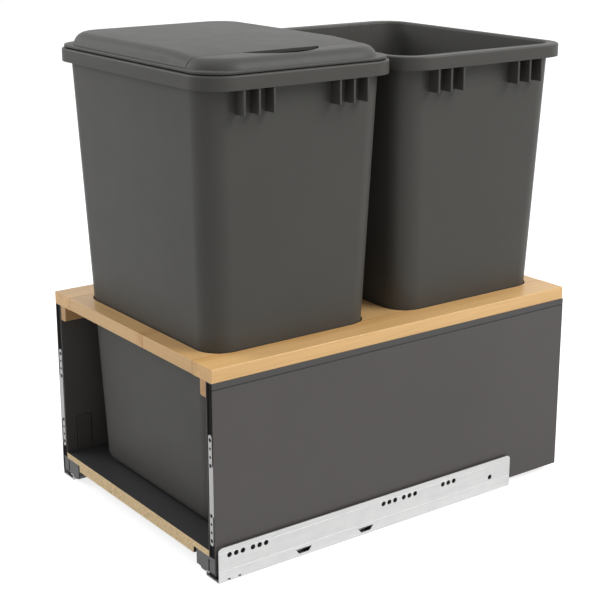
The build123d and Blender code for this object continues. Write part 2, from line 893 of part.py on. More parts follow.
def fins(y):
    plates = []
    x0 = tub_half(z_rim - fin_drop)[0] - tub_wall
    x1 = rim_half_x - fin_inset
    half = fin_thickness / 2
    for group in (-fin_group_offset, fin_group_offset):
        for step in (-1, 0, 1):
            y_fin = y + group + step * fin_pitch
            z1 = z_rim_top - rim_wall
            plates.append(block(x0, x1, y_fin - half, y_fin + half, z_rim - fin_drop, z1))
    return plates + [mirrored(plate) for plate in plates]


def waste_bin(y):
    outer = tub(y, 0, z_bin, z_rim_top)
    bottom = outer.faces().sort_by(Axis.Z)[0].edges()
    outer = fillet(bottom, tub_bottom_radius)
    rim = column(rim_half_x, rim_half_y, rim_radius, y, z_rim, z_rim_top)
    rim = fillet(rim.faces().sort_by(Axis.Z)[-1].edges(), rim_top_radius)
    half_x, half_y = rim_half_x - rim_wall, rim_half_y - rim_wall
    under = column(half_x, half_y, rim_radius - rim_wall, y, z_rim - overrun, z_rim_top - rim_wall)
    inner = tub(y, tub_wall, z_bin + tub_floor, z_rim_top + overrun)
    floor_edges = inner.faces().sort_by(Axis.Z)[0].edges()
    inner = fillet(floor_edges, tub_bottom_radius - tub_wall)
    body = (rim - under) + outer + fins(y) - inner
    top = body.faces().sort_by(Axis.Z)[-1]
    return fillet(top.inner_wires()[0].edges(), rim_inner_radius)


# Lid
z_flange = z_rim_top + rest_gap
z_flange_top = z_flange + flange_thickness
x_seam = rim_half_x - seam_from_side
dome_half_x = rim_half_x - dome_inset
dome_half_y = rim_half_y - dome_inset
x_hinge = -dome_half_x + hinge_inset
z_hinge = z_flange_top + hinge_rise
z_dome_top = z_flange_top + dome_rise
hinge_stations = (y_front_bin - lug_offset, y_front_bin + lug_offset)


# The strip's top is flat, and the flap's top falls to it from a crease
def strip_dome(inset):
    base = plan(dome_half_x - inset, dome_half_y - inset, dome_corner_radius - inset, y_front_bin, z_flange_top)
    body = extrude(base, amount=dome_rise - band_drop - inset, taper=dome_taper)
    return fillet(body.faces().sort_by(Axis.Z)[-1].edges(), dome_radius - inset)


def flap_dome(inset):
    base = plan(dome_half_x - inset, dome_half_y - inset, dome_corner_radius - inset, y_front_bin, z_flange_top)
    body = extrude(base, amount=dome_rise - inset, taper=dome_taper)
    z_top = z_flange_top + dome_rise - inset
    x_band = x_seam - band_width
    z_fall = z_top - band_drop * (dome_half_x - x_band) / band_width
    bevel = [(x_band, z_top), (dome_half_x, z_fall), (dome_half_x, z_top + overrun), (x_band, z_top + overrun)]
    body -= plate_xz(bevel, y_front_bin - rim_half_y, y_front_bin + rim_half_y)
    tops = [face for face in body.faces() if face.normal_at().Z > 0.95]
    edges = [edge for face in tops for edge in face.outer_wire().edges()]
    rim = [edge for edge in edges if abs(edge.center().X - x_band) > 0.1 or abs(edge.center().Y - y_front_bin) > 1]
    return fillet(rim, dome_radius - inset)


def half_space(x0, x1):
    y0, y1 = y_front_bin - rim_half_y, y_front_bin + rim_half_y
    return block(x0, x1, y0, y1, z_flange - skirt_depth, z_dome_top + overrun)


def crescent(x_edge, z0, z1):
    half = crescent_length / 2
    radius = (half * half + crescent_depth * crescent_depth) / (2 * crescent_depth)
    return rod_z(x_edge + crescent_depth - radius, y_front_bin, z0, z1, radius)


def lug(y):
    half = lug_width / 2
    foot = block(x_hinge - hinge_radius, x_hinge + hinge_radius, y - half, y + half, z_flange_top, z_hinge)
    eye = rod_y(x_hinge, y - half, y + half, z_hinge, hinge_radius)
    return foot + eye


def lid_frame():
    y = y_front_bin
    half_x, half_y = rim_half_x - flange_inset, rim_half_y - flange_inset
    radius = rim_radius - flange_inset
    flange = column(half_x, half_y, radius, y, z_flange, z_flange_top)
    flange = fillet(flange.faces().sort_by(Axis.Z)[-1].edges(), flange_edge_radius)
    z_under = z_flange + flange_undercut_height
    skip = flange_undercut
    ring = column(half_x + overrun, half_y + overrun, radius, y, z_flange - overrun, z_under)
    ring -= column(half_x - skip, half_y - skip, radius - skip, y, z_flange - overrun, z_under)
    z_skirt = z_flange - skirt_depth
    skirt_x, skirt_y = tub_half(z_skirt)
    inset = tub_wall + skirt_play
    skirt = column(skirt_x - inset, skirt_y - inset, tub_radius - inset, y, z_skirt, z_flange)
    inset += skirt_wall
    well_x, well_y = skirt_x - inset, skirt_y - inset
    well = column(well_x, well_y, tub_radius - inset, y, z_skirt - overrun, z_flange_top + overrun)
    x_strip_edge = x_seam + seam_gap / 2
    strip_shell = (strip_dome(0) - strip_dome(dome_wall)) & half_space(x_strip_edge, dome_half_x + overrun)
    seam_web = strip_dome(0) & half_space(x_strip_edge, x_strip_edge + seam_wall)
    body = flange - ring + skirt - well + strip_shell + seam_web
    body -= crescent(x_strip_edge, z_flange_top, z_dome_top + overrun)
    for place in hinge_stations:
        body = body + lug(place)
    y0, y1 = y - hinge_half_length, y + hinge_half_length
    return body - rod_y(x_hinge, y0, y1, z_hinge, hinge_pin_radius)


def lid_flap():
    y = y_front_bin
    x_edge = x_seam - seam_gap / 2
    side = half_space(-dome_half_x - overrun, x_edge)
    shell = (flap_dome(0) - flap_dome(dome_wall)) & side
    z_wall = z_dome_top - dome_wall - seam_wall_depth
    edge = flap_dome(0) & block(x_edge - seam_wall, x_edge, y - rim_half_y, y + rim_half_y, z_wall, z_dome_top)
    knuckle = rod_y(x_hinge, y - hinge_half_length, y + hinge_half_length, z_hinge, hinge_radius)
    body = shell + edge + knuckle
    y0, y1 = y - rim_half_y, y + rim_half_y
    z_low = z_flange_top - overrun
    body -= block(-dome_half_x - overrun, dome_half_x, y0, y1, z_low, z_flange_top + rest_gap)
    x_foot = -dome_half_x + flap_foot_cut
    body -= block(-dome_half_x - overrun, x_foot, y0, y1, z_low, z_flange_top + flap_foot_rise)
    half = lug_width / 2 + lug_gap
    for place in hinge_stations:
        reach = hinge_radius + lug_sweep
        body -= rod_y(x_hinge, place - half, place + half, z_hinge, reach)
        body -= block(x_hinge - reach, x_hinge + reach, place - half, place + half, z_low, z_hinge)
    return body - rod_y(x_hinge, y0, y1, z_hinge, hinge_pin_radius + pin_play)


def lid_hinge_pin():
    y0, y1 = y_front_bin - hinge_half_length, y_front_bin + hinge_half_length
    return rod_y(x_hinge, y0, y1, z_hinge, hinge_pin_radius)


# Write one file for each piece
pairs = {
    "cabinet_rail": cabinet_rail(),
    "damper_housing": damper_housing(),
    "damper_plunger": damper_plunger(),
    "damper_spring": damper_spring(),
    "centre_rail": centre_rail(),
    "centre_nose": centre_nose(),
    "lower_cage": lower_cage(),
    "upper_cage": upper_cage(),
    "drawer_rail": drawer_rail(),
    "side_outer": side_outer(),
    "side_inner": side_inner(),
    "side_cover": side_cover(),
    "front_insert": front_insert(),
    "front_bracket": front_bracket(),
    "angle_bracket": angle_bracket(),
    "cleat": cleat(),
    "frame_side_rail": frame_side_rail(),
    "locking_housing": locking_housing(),
    "release_lever": release_lever(),
    "height_wheel": height_wheel(),
}
for stem, shape in pairs.items():
    save_pair(shape, stem)

groups = {
    "lower_rollers": cage_rollers(y_lower_cage, z_lower_cage, lower_roller_radius),
    "upper_rollers": cage_rollers(y_upper_cage, z_upper_cage, upper_roller_radius),
    "bracket_screws": bracket_screws_right(),
    "cleat_screws": cleat_screws_right(),
    "frame_screws": frame_screws_right(),
    "panel_screws": panel_screws_right(),
    "angle_screws": angle_screws_back() + angle_screws_right(),
    "lock_screws": lock_screws_right(),
}
for node, solids in groups.items():
    save(Compound(solids + [mirrored(solid) for solid in solids]), node)

singles = cross_rails()
singles["bottom_panel"] = bottom_panel()
singles["back_panel"] = back_panel()
singles["front_bin"] = waste_bin(y_front_bin)
singles["rear_bin"] = waste_bin(y_rear_bin)
singles["lid_frame"] = lid_frame()
singles["lid_flap"] = lid_flap()
singles["lid_hinge_pin"] = lid_hinge_pin()
for node, shape in singles.items():
    save(shape, node)
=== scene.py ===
import json
import math

import bmesh
import bpy
from mathutils import Matrix, Vector


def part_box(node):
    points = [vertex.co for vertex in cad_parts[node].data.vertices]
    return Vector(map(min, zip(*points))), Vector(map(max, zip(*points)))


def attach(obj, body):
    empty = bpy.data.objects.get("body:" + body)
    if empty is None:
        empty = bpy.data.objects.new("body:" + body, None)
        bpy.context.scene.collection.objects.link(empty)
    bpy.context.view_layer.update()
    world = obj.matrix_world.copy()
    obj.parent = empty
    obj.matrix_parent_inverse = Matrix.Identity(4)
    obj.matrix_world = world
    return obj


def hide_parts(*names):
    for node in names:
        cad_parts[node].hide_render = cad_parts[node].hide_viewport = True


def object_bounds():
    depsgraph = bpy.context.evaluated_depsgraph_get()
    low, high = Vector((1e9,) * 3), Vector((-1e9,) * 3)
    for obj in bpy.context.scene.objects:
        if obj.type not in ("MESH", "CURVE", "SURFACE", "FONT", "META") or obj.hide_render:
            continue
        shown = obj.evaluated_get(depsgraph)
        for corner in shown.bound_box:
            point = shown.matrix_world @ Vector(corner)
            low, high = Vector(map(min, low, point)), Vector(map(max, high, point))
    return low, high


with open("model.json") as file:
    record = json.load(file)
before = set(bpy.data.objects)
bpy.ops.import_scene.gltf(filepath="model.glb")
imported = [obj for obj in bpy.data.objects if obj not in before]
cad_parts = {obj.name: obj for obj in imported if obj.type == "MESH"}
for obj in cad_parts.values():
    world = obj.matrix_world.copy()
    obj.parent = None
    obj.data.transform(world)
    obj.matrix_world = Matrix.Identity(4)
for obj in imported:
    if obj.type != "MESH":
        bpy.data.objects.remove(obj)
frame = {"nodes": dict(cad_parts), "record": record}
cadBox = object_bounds()
print("frame loaded")


# node helpers
def newMaterial(name):
    material = bpy.data.materials.new(name)
    material.use_nodes = True
    tree = material.node_tree
    return material, tree, tree.nodes["Principled BSDF"]


def addNode(tree, kind, **values):
    node = tree.nodes.new(kind)
    for key, value in values.items():
        if key in node.inputs:
            node.inputs[key].default_value = value
        else:
            setattr(node, key, value)
    return node


# a number or a colour is set on the socket, anything else is linked to it
def feed(tree, socket, value):
    if isinstance(value, (float, int)):
        socket.default_value = value
    elif isinstance(value, tuple):
        socket.default_value = (*value, 1)
    else:
        tree.links.new(value, socket)


def compute(tree, operation, *values, clamped=False):
    node = addNode(tree, "ShaderNodeMath", operation=operation, use_clamp=clamped)
    for socket, value in zip(node.inputs, values):
        feed(tree, socket, value)
    return node.outputs[0]


def component(tree, vector, axis):
    parts = tree.nodes.new("ShaderNodeSeparateXYZ")
    tree.links.new(vector, parts.inputs["Vector"])
    return parts.outputs[axis]


def objectCoords(tree, stretch=(1, 1, 1), place=(0, 0, 0)):
    coords = tree.nodes.new("ShaderNodeTexCoord")
    mapping = addNode(tree, "ShaderNodeMapping")
    mapping.inputs["Scale"].default_value = stretch
    mapping.inputs["Location"].default_value = place
    tree.links.new(coords.outputs["Object"], mapping.inputs["Vector"])
    return mapping.outputs["Vector"]


def noise(tree, vector, scale, detail=4.0, roughness=0.5):
    node = addNode(tree, "ShaderNodeTexNoise", Scale=scale, Detail=detail, Roughness=roughness)
    tree.links.new(vector, node.inputs["Vector"])
    return node.outputs["Fac"]


def ramp(tree, fac, stops):
    node = tree.nodes.new("ShaderNodeValToRGB")
    elements = node.color_ramp.elements
    while len(elements) < len(stops):
        elements.new(0.5)
    for element, (place, colour) in zip(elements, stops):
        element.position = place
        element.color = (*colour, 1)
    tree.links.new(fac, node.inputs["Fac"])
    return node.outputs["Color"]


def mixColour(tree, fac, first, second, blend="MIX"):
    node = addNode(tree, "ShaderNodeMix", data_type="RGBA", blend_type=blend)
    for value, index in ((fac, 0), (first, 6), (second, 7)):
        feed(tree, node.inputs[index], value)
    return node.outputs[2]


def tinted(tree, colour, tint, fac=1.0):
    return mixColour(tree, fac, colour, tint, "MULTIPLY")


def spread(tree, value, low, high, start=0.0, end=1.0):
    node = tree.nodes.new("ShaderNodeMapRange")
    limits = {"From Min": start, "From Max": end, "To Min": low, "To Max": high}
    for socket, limit in limits.items():
        node.inputs[socket].default_value = limit
    tree.links.new(value, node.inputs["Value"])
    return node.outputs["Result"]


def bump(tree, shader, height, strength, distance):
    node = addNode(tree, "ShaderNodeBump", Strength=strength, Distance=distance)
    tree.links.new(height, node.inputs["Height"])
    tree.links.new(node.outputs["Normal"], shader.inputs["Normal"])


def shade(tint, amount):
    return tuple(channel * amount for channel in tint)


# a tone that goes a little darker and lighter with the cloud
def clouded(tree, cloud, tint, darkest, lightest):
    return ramp(tree, cloud, ((0.3, shade(tint, darkest)), (0.7, shade(tint, lightest))))


# moulded plastic: faint clouding, a rubbed sheen and a fine moulded grain
plasticLook = {
    "cloudScale": 9.0,
    "rubScale": 40.0,
    "rubDepth": 0.06,
    "grainStrength": 0.12,
    "grainDepth": 0.0002,
}


def mouldedPlastic(name, tint, roughness, grain, gloss=0.3):
    look = plasticLook
    material, tree, shader = newMaterial(name)
    coords = objectCoords(tree)
    cloud = noise(tree, coords, look["cloudScale"], 3.0)
    tree.links.new(clouded(tree, cloud, tint, 0.95, 1.05), shader.inputs["Base Color"])
    rub = noise(tree, coords, look["rubScale"], 5.0)
    sheen = spread(tree, rub, roughness - look["rubDepth"], roughness + look["rubDepth"])
    tree.links.new(sheen, shader.inputs["Roughness"])
    shader.inputs["Specular IOR Level"].default_value = gloss
    bump(tree, shader, noise(tree, coords, grain, 2.0), look["grainStrength"], look["grainDepth"])
    return material


# powder coat: an even tone with the fine orange peel of baked paint; with a fold shade tint,
# the folded top of the sheet is painted that darker tone as painted shade, above a groove painted dark as
# painted shadow
paintLook = {
    "cloudScale": 6.0,
    "peelScale": 900.0,
    "peelStrength": 0.15,
    "peelDepth": 0.0001,
    "foldHeight": 0.2311,
    "grooveHalfWidth": 0.0007,
    # how dark the groove line is painted, as painted shadow in the groove
    "grooveShadowFactor": 0.35,
}


def powderCoat(name, tint, foldShadeTint=None):
    look = paintLook
    material, tree, shader = newMaterial(name)
    coords = objectCoords(tree)
    colour = clouded(tree, noise(tree, coords, look["cloudScale"], 3.0), tint, 0.96, 1.04)
    # above the fold height the sheet is painted a darker tone as painted shade, and the groove line there
    # darker still as painted shadow
    if foldShadeTint:
        height = component(tree, coords, "Z")
        isShadedFold = compute(tree, "GREATER_THAN", height, look["foldHeight"])
        isShadedGroove = compute(tree, "COMPARE", height, look["foldHeight"], look["grooveHalfWidth"])
        colour = mixColour(tree, isShadedFold, colour, foldShadeTint)
        colour = mixColour(tree, isShadedGroove, colour, shade(foldShadeTint, look["grooveShadowFactor"]))
    tree.links.new(colour, shader.inputs["Base Color"])
    peel = noise(tree, coords, look["peelScale"], 2.0)
    tree.links.new(spread(tree, peel, 0.42, 0.56), shader.inputs["Roughness"])
    shader.inputs["Specular IOR Level"].default_value = 0.4
    bump(tree, shader, peel, look["peelStrength"], look["peelDepth"])
    return material


# zinc plated sheet: drawn streaks along the rail and faint spangle
zincLook = {
    "stretch": {"Y": (120, 4, 120), "Z": (120, 120, 4)},
    "streakScale": 3.0,
    "spangleScale": 60.0,
    "spangle": (0.95, 0.95, 0.96),
    "metallic": 0.7,
    "streakStrength": 0.08,
    "streakDepth": 0.0001,
}


def zincSheet(name, tint, drawn="Y"):
    look = zincLook
    material, tree, shader = newMaterial(name)
    streak = noise(tree, objectCoords(tree, look["stretch"][drawn]), look["streakScale"], 6.0)
    spots = noise(tree, objectCoords(tree), look["spangleScale"], 4.0)
    base = clouded(tree, streak, tint, 0.93, 1.0)
    veil = ramp(tree, spots, ((0.35, look["spangle"]), (0.65, (1.0, 1.0, 1.0))))
    tree.links.new(tinted(tree, base, veil), shader.inputs["Base Color"])
    shader.inputs["Metallic"].default_value = look["metallic"]
    tree.links.new(spread(tree, streak, 0.30, 0.46), shader.inputs["Roughness"])
    bump(tree, shader, streak, look["streakStrength"], look["streakDepth"])
    return material


# one on the faces that look along an axis, nought on the others
def facesAlong(tree, axis):
    facing = tree.nodes.new("ShaderNodeNewGeometry")
    size = compute(tree, "ABSOLUTE", component(tree, facing.outputs["True Normal"], axis))
    return compute(tree, "GREATER_THAN", size, 0.9)


# lacquered maple: long wavering figure, fine fibres, glue lines across and darker end grain
mapleLook = {
    "figureStretch": {"X": (1.6, 26, 26), "Y": (26, 1.6, 26)},
    "fibreStretch": {"X": (14, 900, 900), "Y": (900, 14, 900)},
    "streak": (0.86, 0.76, 0.62),
    "fibre": (0.86, 0.83, 0.78),
    "fibreAmount": 0.75,
    "endGrain": (0.97, 0.94, 0.90),
    "glueLine": (0.66, 0.52, 0.38),
    "glueHalfWidth": 0.0006,
    "heartwood": (0.84, 0.66, 0.44),
    "heartwoodWidth": 0.022,
    "heartwoodScale": 55.0,
    "roughness": 0.42,
    "lacquer": 0.22,
    "lacquerRoughness": 0.14,
    "fibreStrength": 0.10,
    "fibreDepth": 0.0001,
}


# a glue line, a hair darker; with a tone, the board beyond it has that tone, and
# blotches of heartwood come up to the line on the near side
def gluedBoard(tree, wood, grainAxis, place, tone):
    look = mapleLook
    coords = objectCoords(tree)
    along = component(tree, coords, grainAxis)
    isLine = compute(tree, "COMPARE", along, place, look["glueHalfWidth"])
    if tone:
        plain = wood
        isBeyond = compute(tree, "GREATER_THAN", along, place)
        nearLine = spread(tree, along, 0.0, 1.0, place - look["heartwoodWidth"], place)
        spots = noise(tree, coords, look["heartwoodScale"], 3.0)
        blotch = ramp(tree, spots, ((0.40, (1.0, 1.0, 1.0)), (0.62, look["heartwood"])))
        wood = mixColour(tree, nearLine, wood, tinted(tree, wood, blotch))
        wood = mixColour(tree, isBeyond, wood, tinted(tree, plain, tone))
    return mixColour(tree, isLine, wood, tinted(tree, wood, look["glueLine"]))


def maple(name, tint, grainAxis, offset, lacquer=mapleLook["lacquer"], joints=()):
    look = mapleLook
    material, tree, shader = newMaterial(name)
    figure = objectCoords(tree, look["figureStretch"][grainAxis], (offset, offset * 2, 0))
    fibre = objectCoords(tree, look["fibreStretch"][grainAxis], (offset, 0, 0))
    bands = noise(tree, figure, 1.0, 5.0, 0.6)
    threads = noise(tree, fibre, 1.0, 3.0)
    streak = tuple(channel * part for channel, part in zip(tint, look["streak"]))
    base = ramp(tree, bands, ((0.28, streak), (0.47, tint), (0.72, shade(tint, 1.10))))
    grain = ramp(tree, threads, ((0.32, look["fibre"]), (0.55, (1.0, 1.0, 1.0))))
    wood = tinted(tree, base, grain, look["fibreAmount"])
    for place, tone in joints:
        wood = gluedBoard(tree, wood, grainAxis, place, tone)
    endGrain = tinted(tree, wood, look["endGrain"])
    wood = mixColour(tree, facesAlong(tree, grainAxis), wood, endGrain)
    tree.links.new(wood, shader.inputs["Base Color"])
    shader.inputs["Roughness"].default_value = look["roughness"]
    shader.inputs["Coat Weight"].default_value = lacquer
    shader.inputs["Coat Roughness"].default_value = look["lacquerRoughness"]
    bump(tree, shader, threads, look["fibreStrength"], look["fibreDepth"])
    return material


# chipboard: dark coated faces, raw pale chips on the edges that face along the open axis
boardLook = {
    "chipScale": 420.0,
    "flakeScale": 330.0,
    "speck": (0.66, 0.58, 0.50),
    "speckAmount": 0.6,
    "roughness": 0.55,
    "flakeStrength": 0.2,
    "flakeDepth": 0.0003,
}


def coatedBoard(name, coat, raw, openAxis):
    look = boardLook
    material, tree, shader = newMaterial(name)
    coords = objectCoords(tree)
    chips = addNode(tree, "ShaderNodeTexVoronoi", Scale=look["chipScale"])
    tree.links.new(coords, chips.inputs["Vector"])
    flakes = noise(tree, coords, look["flakeScale"], 6.0, 0.65)
    pale = ramp(tree, flakes, ((0.30, shade(raw, 0.60)), (0.44, raw), (0.66, shade(raw, 1.14))))
    speck = ramp(tree, chips.outputs["Distance"], ((0.08, look["speck"]), (0.40, (1.0, 1.0, 1.0))))
    edge = tinted(tree, pale, speck, look["speckAmount"])
    colour = mixColour(tree, facesAlong(tree, openAxis), coat, edge)
    tree.links.new(colour, shader.inputs["Base Color"])
    shader.inputs["Roughness"].default_value = look["roughness"]
    bump(tree, shader, flakes, look["flakeStrength"], look["flakeDepth"])
    return material


tones = {
    "bin": (0.063, 0.0615, 0.056),
    "lid": (0.061, 0.0600, 0.056),
    "side": (0.084, 0.077, 0.073),
    # the fold tone is painted shade on the folded top band of the outer side
    "shadedFold": (0.073, 0.070, 0.069),
    "zinc": (0.76, 0.765, 0.755),
    "strip": (0.52, 0.525, 0.52),
    "steel": (0.52, 0.52, 0.52),
    "maple": (0.735, 0.455, 0.188),
    "cleat": (0.58, 0.345, 0.155),
    "chips": (0.84, 0.63, 0.35),
    "coat": (0.038, 0.038, 0.041),
    "grey": (0.15, 0.155, 0.152),
    "cover": (0.078, 0.072, 0.068),
    "black": (0.004, 0.004, 0.004),
    "nextBoard": (0.98, 0.96, 0.92),
}
# the side rails' maple is painted lighter than the cross rails, as painted light on their tops
sideRailPaintedLight = 1.14
frontGlueLine = 0.0370
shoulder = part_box("frame_side_rail_right")[0].x - 0.0005  # where the cross rails end beside the side rails
shoulders = ((-shoulder, None), (shoulder, None))
frontGlueLines = ((frontGlueLine, tones["nextBoard"]), *shoulders)

binPlastic = mouldedPlastic("binPlastic", tones["bin"], 0.48, 700.0)
lidPlastic = mouldedPlastic("lidPlastic", tones["lid"], 0.50, 700.0)
coverPlastic = mouldedPlastic("coverPlastic", tones["cover"], 0.45, 500.0)
greyPlastic = mouldedPlastic("greyPlastic", tones["grey"], 0.45, 500.0)
blackPlastic = mouldedPlastic("blackPlastic", tones["black"], 0.60, 500.0, gloss=0.1)
sidePaint = powderCoat("sidePaint", tones["side"])
# the outer side's paint carries the painted shade of its fold band and the painted shadow of its groove
outerPaint = powderCoat("outerPaint", tones["side"], tones["shadedFold"])
railZinc = zincSheet("railZinc", tones["zinc"])
stripZinc = zincSheet("stripZinc", tones["strip"], drawn="Z")
brightSteel = zincSheet("brightSteel", tones["steel"])
# a lighter copy of the maple: painted light for the side rails
litSideMaple = maple("litSideMaple", shade(tones["maple"], sideRailPaintedLight), "Y", 0.3)
frontMaple = maple("frontMaple", tones["maple"], "X", 1.7, joints=frontGlueLines)
middleMaple = maple("middleMaple", tones["maple"], "X", 4.1, joints=shoulders)
rearMaple = maple("rearMaple", tones["maple"], "X", 6.4, joints=shoulders)
cleatWood = maple("cleatWood", tones["cleat"], "Y", 2.2, lacquer=0.0)
boardFinish = coatedBoard("boardFinish", tones["coat"], tones["chips"], "Y")
backFinish = coatedBoard("backFinish", tones["side"], tones["chips"], "Z")
print("materials made")

# finish of each CAD part, by the start of its name, and the radius of its worked edges
partFinish = {
    "cabinet_rail": (railZinc, 0.0003),
    "centre_rail": (railZinc, 0.0),
    "drawer_rail": (railZinc, 0.0),
    "centre_nose": (blackPlastic, 0.0003),
    "lower_cage": (blackPlastic, 0.0),
    "upper_cage": (blackPlastic, 0.0),
    "lower_rollers": (brightSteel, 0.0),
    "upper_rollers": (brightSteel, 0.0),
    "damper_housing": (blackPlastic, 0.0006),
    "damper_plunger": (blackPlastic, 0.0),
    "damper_spring": (brightSteel, 0.0),
    "side_outer": (outerPaint, 0.0003),
    "side_inner": (sidePaint, 0.0003),
    "side_cover": (coverPlastic, 0.0003),
    "front_insert": (blackPlastic, 0.0003),
    "front_bracket": (stripZinc, 0.0002),
    "angle_bracket": (stripZinc, 0.0002),
    "bracket_screws": (brightSteel, 0.0),
    "cleat_screws": (brightSteel, 0.0),
    "frame_screws": (brightSteel, 0.0),
    "panel_screws": (brightSteel, 0.0),
    "angle_screws": (brightSteel, 0.0),
    "lock_screws": (brightSteel, 0.0),
    "cleat": (cleatWood, 0.0004),
    "frame_side_rail": (litSideMaple, 0.0010),
    "frame_front_rail": (frontMaple, 0.0010),
    "frame_middle_rail": (middleMaple, 0.0010),
    "frame_rear_rail": (rearMaple, 0.0010),
    "bottom_panel": (boardFinish, 0.0003),
    "back_panel": (backFinish, 0.0003),
    "locking_housing": (greyPlastic, 0.0004),
    "release_lever": (greyPlastic, 0.0002),
    "height_wheel": (blackPlastic, 0.0002),
    "lid_frame": (lidPlastic, 0.0004),
    "lid_flap": (lidPlastic, 0.0004),
    "lid_hinge_pin": (brightSteel, 0.0),
}
edgeWork = {
    "mergeDistance": 0.000002,
    "flatDegrees": 0.3,
    "creaseDegrees": 32,
    "bevelDegrees": 40,
    "bevelSegments": 2,
}


def finishFor(node):
    names = [name for name in partFinish if node.startswith(name)]
    return partFinish[max(names, key=len)]


def pieceFrom(bm, name, body, material):
    mesh = bpy.data.meshes.new(name)
    bm.to_mesh(mesh)
    bm.free()
    piece = bpy.data.objects.new(name, mesh)
    bpy.context.scene.collection.objects.link(piece)
    mesh.materials.append(material)
    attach(piece, body)
    return piece


def smoothShading(bm, creaseDegrees):
    for face in bm.faces:
        face.smooth = True
    for edge in bm.edges:
        edge.smooth = edge.is_manifold and edge.calc_face_angle(0) < math.radians(creaseDegrees)


# a worked copy of a CAD part: merged, with its edges broken as the real maker leaves them
def workedPart(node, body):
    material, edgeRadius = finishFor(node)
    bm = bmesh.new()
    bm.from_mesh(frame["nodes"][node].data)
    bmesh.ops.remove_doubles(bm, verts=bm.verts, dist=edgeWork["mergeDistance"])
    bmesh.ops.dissolve_limit(
        bm, angle_limit=math.radians(edgeWork["flatDegrees"]), verts=bm.verts, edges=bm.edges,
        use_dissolve_boundaries=False,
    )
    smoothShading(bm, edgeWork["creaseDegrees"])
    piece = pieceFrom(bm, node + ".worked", body, material)
    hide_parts(node)
    if edgeRadius:
        bevel = piece.modifiers.new("brokenEdges", "BEVEL")
        bevel.width = edgeRadius
        bevel.segments = edgeWork["bevelSegments"]
        bevel.limit_method = "ANGLE"
        bevel.angle_limit = math.radians(edgeWork["bevelDegrees"])
        bevel.harden_normals = True
    return piece


# a face that is a rounded rectangle; the bin is a row of them, bridged into a closed shell
def ring(bm, centreY, halfX, halfY, radius, z, segments):
    place = Matrix.Translation((0, centreY, z)) @ Matrix.Diagonal((halfX, halfY, 1, 1))
    made = bmesh.ops.create_grid(bm, x_segments=1, y_segments=1, size=1.0, matrix=place)
    rounded = bmesh.ops.bevel(
        bm, geom=made["verts"], offset=radius, offset_type="OFFSET", segments=segments,
        affect="VERTICES", profile=0.5, material=-1,
    )
    return rounded["verts"][0].link_faces[0]


def quarter(steps):
    return [math.radians(90 * step / steps) for step in range(steps + 1)]


binShape = {
    "rimInsetX": 0.0168,
    "rimInsetY": 0.0071,
    "rimHeight": 0.0157,
    "rimRadius": 0.0382,
    "rimWall": 0.0024,
    "rimRounding": 0.0022,
    "lipRounding": 0.0030,
    "wall": 0.0022,
    "floor": 0.0026,
    "bodyRadius": 0.0310,
    "bottomRadius": 0.0120,
    "draft": 0.0381,
    "finWidth": 0.0030,
    "finPitch": 0.0195,
    "finGroup": 0.0640,
    "finDrop": 0.0282,
    "finInset": 0.0014,
    "finRounding": 0.0005,
    "step": 0.0001,  # bridge_loops twists between two rings that lie in one plane
    "outsideHeights": (0.18, 0.36),
    "insideHeights": (0.40, 0.20),
    "cornerSegments": 20,
    "bottomSegments": 8,
    "rimSegments": 5,
    "lipSegments": 6,
    "creaseDegrees": 30,
}


# half width, half depth, corner radius and height of each ring, up the outside and down the inside
def binProfile(low, high):
    shape = binShape
    rimX, rimY = (high.x - low.x) / 2, (high.y - low.y) / 2
    zRim = high.z - shape["rimHeight"]

    def body(z, inset=0.0):
        shrink = shape["draft"] * (zRim - z) + inset
        halfX, halfY = rimX - shape["rimInsetX"] - shrink, rimY - shape["rimInsetY"] - shrink
        return halfX, halfY, shape["bodyRadius"] - inset

    def rim(inset):
        return rimX - inset, rimY - inset, shape["rimRadius"] - inset

    points = []
    big = shape["bottomRadius"]
    for angle in quarter(shape["bottomSegments"]):
        inset = big * (1 - math.sin(angle))
        z = low.z + big * (1 - math.cos(angle))
        x, y, r = body(z)
        points.append((x - inset, y - inset, r - inset, z))
    outside = [low.z + height for height in shape["outsideHeights"]]
    under = high.z - shape["rimWall"]
    for z in (*outside, zRim - shape["finDrop"], zRim, under):
        points.append((*body(z), z))
    points.append((*rim(shape["rimWall"]), under - shape["step"]))
    points.append((*rim(shape["rimWall"]), zRim + shape["step"]))
    points.append((*rim(0.0), zRim))
    soft = shape["rimRounding"]
    for angle in quarter(shape["rimSegments"]):
        z = high.z - soft + soft * math.sin(angle)
        points.append((*rim(soft * (1 - math.cos(angle))), z))
    lip = shape["lipRounding"]
    wall = shape["wall"]
    for angle in quarter(shape["lipSegments"]):
        z = high.z - shape["step"] - lip + lip * math.cos(angle)
        x, y, r = body(z, wall)
        reach = lip * (1 - math.sin(angle))
        points.append((x + reach, y + reach, r + reach, z))
    for height in shape["insideHeights"]:
        points.append((*body(low.z + height, wall), low.z + height))
    small = big - wall
    for angle in quarter(shape["bottomSegments"]):
        inset = small * (1 - math.cos(angle))
        z = low.z + shape["floor"] + small * (1 - math.sin(angle))
        x, y, r = body(z, wall)
        points.append((x - inset, y - inset, r - inset, z))
    return points


